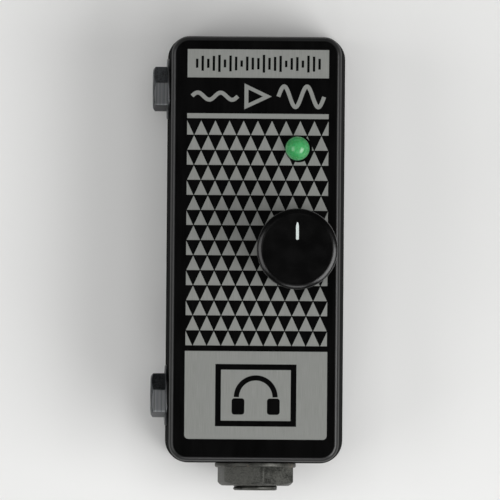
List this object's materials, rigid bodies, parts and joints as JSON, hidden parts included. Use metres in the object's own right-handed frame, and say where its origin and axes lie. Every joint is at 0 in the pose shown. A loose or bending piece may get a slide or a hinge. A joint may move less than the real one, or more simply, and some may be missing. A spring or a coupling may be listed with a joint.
{
  "type": "headphone amplifier",
  "caption": "Small battery-powered headphone amplifier in a drafted die-cast box, with a volume knob, an indicator, an end-wall 1/4 inch input jack and side-wall 3.5 mm headphone jacks.",
  "frame": {"origin": "centre of the base plate's underside", "axes": "+Z out of the control face, +Y along the box away from the input jack, -X towards the headphone jacks"},
  "size_m": [0.0416, 0.0982, 0.0453],
  "materials": {
    "black_face": "cast aluminium with a satin black coating, faintly brushed on the face",
    "black_base": "cast aluminium with a satin black coating",
    "silver_print": "satin silver print on the face",
    "zinc_screw": "zinc plated",
    "foam": "matt closed-cell foam",
    "zinc_casting": "die-cast, matt",
    "phenolic": "matt moulded",
    "carbon_track": "matt carbon film",
    "tinned": "tinned, satin",
    "contact_bronze": "phosphor bronze strip",
    "steel_shaft": "turned steel",
    "nickel": "dull nickel plate",
    "jack_nickel": "dull grey machined metal",
    "knob_black": "gloss black",
    "pointer_white": "white filled line",
    "brass": "turned brass",
    "black_steel": "black oxide",
    "led_green": "diffused green epoxy",
    "battery_jacket": "plain dark printed jacket",
    "snap_vinyl": "soft black vinyl",
    "presspahn": "smooth insulating card",
    "board_green": "green solder resist",
    "capacitor_sleeve": "dark blue sleeve",
    "film_red": "dipped film capacitor",
    "resistor_blue": "blue lacquer",
    "wire_red": "red insulation",
    "wire_black": "black insulation",
    "wire_yellow": "yellow insulation",
    "jack_moulding": "black moulded"
  },
  "bodies": {
    "base": {"base_plate": "black_base", "lid_screws": "zinc_screw", "battery_pad": "foam"},
    "case": {"enclosure": "black_face", "pot_bush": "zinc_casting", "pot_housing": "phenolic", "pot_track": "carbon_track", "pot_pins": "tinned", "pot_washer": "nickel", "pot_nut": "nickel", "led_lens": "led_green", "led_leads": "tinned", "input_jack_bush": "jack_nickel", "input_jack_frame": "nickel", "input_jack_insulators": "phenolic", "input_jack_lugs": "tinned", "input_jack_rivets": "nickel", "input_jack_washer": "jack_nickel", "input_jack_nut": "jack_nickel", "battery": "battery_jacket", "battery_terminals": "tinned", "battery_snap": "snap_vinyl", "insulating_sheet": "presspahn", "circuit_board": "board_green", "amplifier_chip": "phenolic", "chip_legs": "tinned", "electrolytic_capacitors": "capacitor_sleeve", "film_capacitors": "film_red", "resistors": "resistor_blue", "resistor_leads": "tinned", "battery_lead_red": "wire_red", "battery_lead_black": "wire_black", "input_jack_wires": "wire_yellow", "headphone_jack_upper_bush": "nickel", "headphone_jack_upper_housing": "jack_moulding", "headphone_jack_upper_pins": "tinned", "headphone_jack_upper_washer": "nickel", "headphone_jack_upper_nut": "nickel", "headphone_jack_upper_wires": "wire_yellow", "headphone_jack_lower_bush": "nickel", "headphone_jack_lower_housing": "jack_moulding", "headphone_jack_lower_pins": "tinned", "headphone_jack_lower_washer": "nickel", "headphone_jack_lower_nut": "nickel", "headphone_jack_lower_wires": "wire_yellow"},
    "volume": {"knob_body": "knob_black", "knob_pointer": "pointer_white", "knob_insert": "brass", "knob_grub_screw": "black_steel", "pot_shaft": "steel_shaft", "pot_rotor": "phenolic", "pot_wiper": "contact_bronze"},
    "input_tip_contact": {"input_jack_tip_spring": "contact_bronze"},
    "input_ring_contact": {"input_jack_ring_spring": "contact_bronze"},
    "headphone_upper_contact": {"headphone_jack_upper_spring": "contact_bronze"},
    "headphone_lower_contact": {"headphone_jack_lower_spring": "contact_bronze"}
  },
  "joints": [
    {"name": "case_lift", "type": "slide", "parent": "base", "child": "case", "axis": [0, 0, 1], "range_m": [0, 0.04]},
    {"name": "volume_turn", "type": "hinge", "parent": "case", "child": "volume", "pos_m": [0.0088, 0, 0.031], "axis": [0, 0, 1], "range_deg": [-150, 150]},
    {"name": "input_tip_contact_flex", "type": "hinge", "parent": "case", "child": "input_tip_contact", "pos_m": [0.0004, -0.03486, 0.00872], "axis": [-1, 0, 0], "range_deg": [0, 7], "stiffness_Nm_per_rad": 0.05},
    {"name": "input_ring_contact_flex", "type": "hinge", "parent": "case", "child": "input_ring_contact", "pos_m": [0.0004, -0.03481, 0.00972], "axis": [-1, 0, 0], "range_deg": [0, 8], "stiffness_Nm_per_rad": 0.05},
    {"name": "headphone_upper_contact_flex", "type": "hinge", "parent": "case", "child": "headphone_upper_contact", "pos_m": [-0.01421, 0.0343, 0.0122], "axis": [0, 1, 0], "range_deg": [0, 8], "stiffness_Nm_per_rad": 0.05},
    {"name": "headphone_lower_contact_flex", "type": "hinge", "parent": "case", "child": "headphone_lower_contact", "pos_m": [-0.01421, -0.0315, 0.0122], "axis": [0, 1, 0], "range_deg": [0, 8], "stiffness_Nm_per_rad": 0.05}
  ]
}
